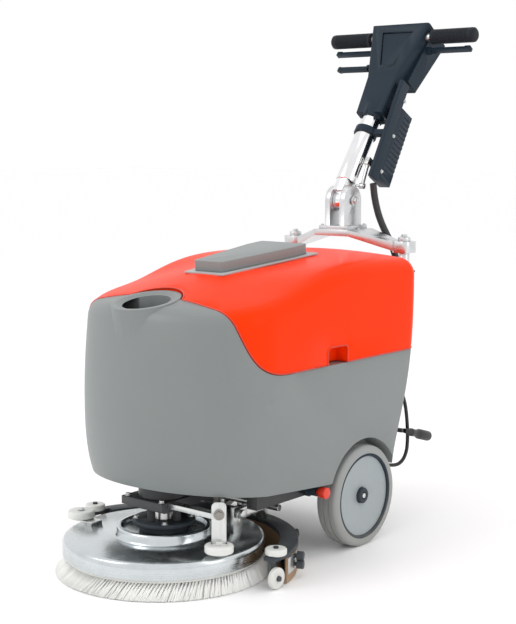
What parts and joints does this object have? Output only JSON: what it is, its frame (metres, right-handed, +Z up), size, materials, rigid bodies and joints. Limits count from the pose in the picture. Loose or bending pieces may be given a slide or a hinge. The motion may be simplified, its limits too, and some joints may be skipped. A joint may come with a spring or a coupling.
{
  "type": "walk-behind floor scrubber",
  "caption": "Walk-behind wet and dry floor scrubber with rotating disc brush, curved squeegee, stacked tanks and a folding T handle.",
  "frame": {"origin": "on the floor, under the middle of the bounding box without its cords and hoses", "axes": "+Z up, the disc brush faces -Y, the operator stands at +Y"},
  "size_m": [0.538, 1.111, 1.1197],
  "materials": {
    "body_grey": "satin rotomoulded",
    "hood_orange": "glossy",
    "cover_grey": "satin",
    "seal_grey": "satin",
    "black_plastic": "fine grained",
    "white_plastic": "satin",
    "red_plastic": "glossy",
    "zinc": "zinc plated",
    "deck_steel": "polished",
    "tube_aluminium": "polished",
    "cast_aluminium": "cast",
    "frame_paint": "satin black",
    "motor_paint": "satin black",
    "tyre_rubber": "grey rubber",
    "disc_grey": "satin",
    "bristle_white": "nylon tufts",
    "blade_tan": "matt",
    "grip_rubber": "matt",
    "hose_rubber": "matt",
    "lead_rubber": "satin"
  },
  "bodies": {
    "machine": {"solution_tank": "body_grey", "batteries": "black_plastic", "chassis_frame": "frame_paint", "wheel_axle": "zinc", "drain_valve": "black_plastic", "handle_posts": "cast_aluminium", "bridge": "cast_aluminium", "clevis": "cast_aluminium", "conduit": "hose_rubber", "charging_lead": "lead_rubber", "charging_plug": "lead_rubber"},
    "recovery": {"recovery_tank": "hood_orange", "cover_seal": "seal_grey", "float_cage": "black_plastic", "vacuum_motor": "motor_paint"},
    "cover": {"tank_cover": "cover_grey"},
    "float": {"float_ball": "white_plastic"},
    "right_wheel_body": {"right_tyre": "tyre_rubber", "right_wheel": "black_plastic", "right_wheel_disc": "disc_grey"},
    "left_wheel_body": {"left_tyre": "tyre_rubber", "left_wheel": "black_plastic", "left_wheel_disc": "disc_grey"},
    "links": {"link_arms": "zinc", "link_pins": "zinc"},
    "brush_head": {"brush_deck": "deck_steel", "drive_flange": "black_plastic", "gear_motor": "motor_paint", "deck_brackets": "zinc"},
    "brush": {"drive_hub": "zinc", "brush_plate": "white_plastic", "brush_bristles": "bristle_white"},
    "right_bumper": {"right_bumper_roller": "white_plastic"},
    "left_bumper": {"left_bumper_roller": "white_plastic"},
    "squeegee": {"squeegee_body": "black_plastic", "squeegee_blades": "blade_tan", "blade_clamp": "zinc", "squeegee_knobs": "black_plastic", "squeegee_arms": "zinc"},
    "right_top_wheel": {"right_top_roller": "white_plastic"},
    "right_side_wheel": {"right_side_roller": "white_plastic"},
    "left_top_wheel": {"left_top_roller": "white_plastic"},
    "left_side_wheel": {"left_side_roller": "white_plastic"},
    "drain_tap": {"drain_knob": "red_plastic"},
    "handle": {"handle_tube": "tube_aluminium", "clamp_band": "black_plastic", "console": "black_plastic", "t_bar": "zinc", "handle_grips": "grip_rubber", "cable_channel": "black_plastic", "motor_controller": "black_plastic"},
    "right_bar": {"right_switch_bar": "black_plastic"},
    "left_bar": {"left_switch_bar": "black_plastic"},
    "lever": {"hand_lever": "black_plastic"},
    "lock": {"lock_lever": "zinc"},
    "key": {"key_switch": "zinc"},
    "vacuum_rocker": {"vacuum_switch": "red_plastic"},
    "brush_rocker": {"brush_switch": "red_plastic"}
  },
  "joints": [
    {"name": "recovery_tank_swing", "type": "hinge", "parent": "machine", "child": "recovery", "pos_m": [0, 0.2325, 0.6], "axis": [-1, 0, 0], "range_deg": [0, 45]},
    {"name": "cover_hinge", "type": "hinge", "parent": "recovery", "child": "cover", "pos_m": [0, 0.0545, 0.61445], "axis": [-1, 0, 0], "range_deg": [0, 85]},
    {"name": "float_rise", "type": "slide", "parent": "recovery", "child": "float", "axis": [0, 0, 1], "range_m": [0, 0.017]},
    {"name": "right_wheel_spin", "type": "hinge", "parent": "machine", "child": "right_wheel_body", "pos_m": [0.201, 0.035, 0.107], "axis": [1, 0, 0], "continuous": true},
    {"name": "left_wheel_spin", "type": "hinge", "parent": "machine", "child": "left_wheel_body", "pos_m": [-0.201, 0.035, 0.107], "axis": [1, 0, 0], "continuous": true},
    {"name": "link_swing", "type": "hinge", "parent": "machine", "child": "links", "pos_m": [0, -0.1545, 0.119], "axis": [-1, 0, 0], "range_deg": [0, 9]},
    {"name": "head_level", "type": "hinge", "parent": "links", "child": "brush_head", "pos_m": [0, -0.2475, 0.111], "axis": [-1, 0, 0], "range_deg": [-9, 0]},
    {"name": "brush_spin", "type": "hinge", "parent": "brush_head", "child": "brush", "pos_m": [0, -0.3395, 0.04], "axis": [0, 0, 1], "continuous": true},
    {"name": "right_bumper_spin", "type": "hinge", "parent": "brush_head", "child": "right_bumper", "pos_m": [0.188, -0.3875, 0.085], "axis": [0, 0, 1], "continuous": true},
    {"name": "left_bumper_spin", "type": "hinge", "parent": "brush_head", "child": "left_bumper", "pos_m": [-0.188, -0.3875, 0.085], "axis": [0, 0, 1], "continuous": true},
    {"name": "squeegee_lift", "type": "slide", "parent": "machine", "child": "squeegee", "axis": [0, 0, 1], "range_m": [0, 0.02]},
    {"name": "right_top_wheel_spin", "type": "hinge", "parent": "squeegee", "child": "right_top_wheel", "pos_m": [0.248, -0.2915, 0.07], "axis": [0, 0, 1], "continuous": true},
    {"name": "right_side_wheel_spin", "type": "hinge", "parent": "squeegee", "child": "right_side_wheel", "pos_m": [0.258, -0.3035, 0.0215], "axis": [1, 0, 0], "continuous": true},
    {"name": "left_top_wheel_spin", "type": "hinge", "parent": "squeegee", "child": "left_top_wheel", "pos_m": [-0.248, -0.2915, 0.07], "axis": [0, 0, 1], "continuous": true},
    {"name": "left_side_wheel_spin", "type": "hinge", "parent": "squeegee", "child": "left_side_wheel", "pos_m": [-0.258, -0.3035, 0.0215], "axis": [1, 0, 0], "continuous": true},
    {"name": "drain_knob_turn", "type": "hinge", "parent": "machine", "child": "drain_tap", "pos_m": [0.215, -0.1015, 0.14], "axis": [1, 0, 0], "range_deg": [0, 90]},
    {"name": "handle_fold", "type": "hinge", "parent": "machine", "child": "handle", "pos_m": [0, 0.2575, 0.712], "axis": [-1, 0, 0], "range_deg": [-120, 10]},
    {"name": "right_bar_press", "type": "hinge", "parent": "handle", "child": "right_bar", "pos_m": [0.086, 0.48939, 1.05508], "axis": [0, -0.8161, 0.5779], "range_deg": [0, 3.5]},
    {"name": "left_bar_press", "type": "hinge", "parent": "handle", "child": "left_bar", "pos_m": [-0.086, 0.48939, 1.05508], "axis": [0, 0.8161, -0.5779], "range_deg": [0, 3.5]},
    {"name": "hand_lever_pull", "type": "hinge", "parent": "handle", "child": "lever", "pos_m": [-0.069, 0.45204, 1.01965], "axis": [0, 0.8161, -0.5779], "range_deg": [0, 25]},
    {"name": "lock_release", "type": "hinge", "parent": "handle", "child": "lock", "pos_m": [0.034, 0.28311, 0.74471], "axis": [1, 0, 0], "range_deg": [0, 12]},
    {"name": "key_turn", "type": "hinge", "parent": "handle", "child": "key", "pos_m": [-0.044, 0.527, 1.04071], "axis": [0, 0.8161, -0.5779], "range_deg": [0, 60]},
    {"name": "vacuum_rocker_tilt", "type": "hinge", "parent": "handle", "child": "vacuum_rocker", "pos_m": [0.008, 0.5301, 1.03851], "axis": [1, 0, 0], "range_deg": [0, 6]},
    {"name": "brush_rocker_tilt", "type": "hinge", "parent": "handle", "child": "brush_rocker", "pos_m": [0.042, 0.5301, 1.03851], "axis": [1, 0, 0], "range_deg": [0, 6]}
  ],
  "couplings": [
    {"joint": "head_level", "follows": "link_swing", "ratio": -1},
    {"joint": "hand_lever_pull", "follows": "squeegee_lift", "rad_per_m": 21.8}
  ]
}
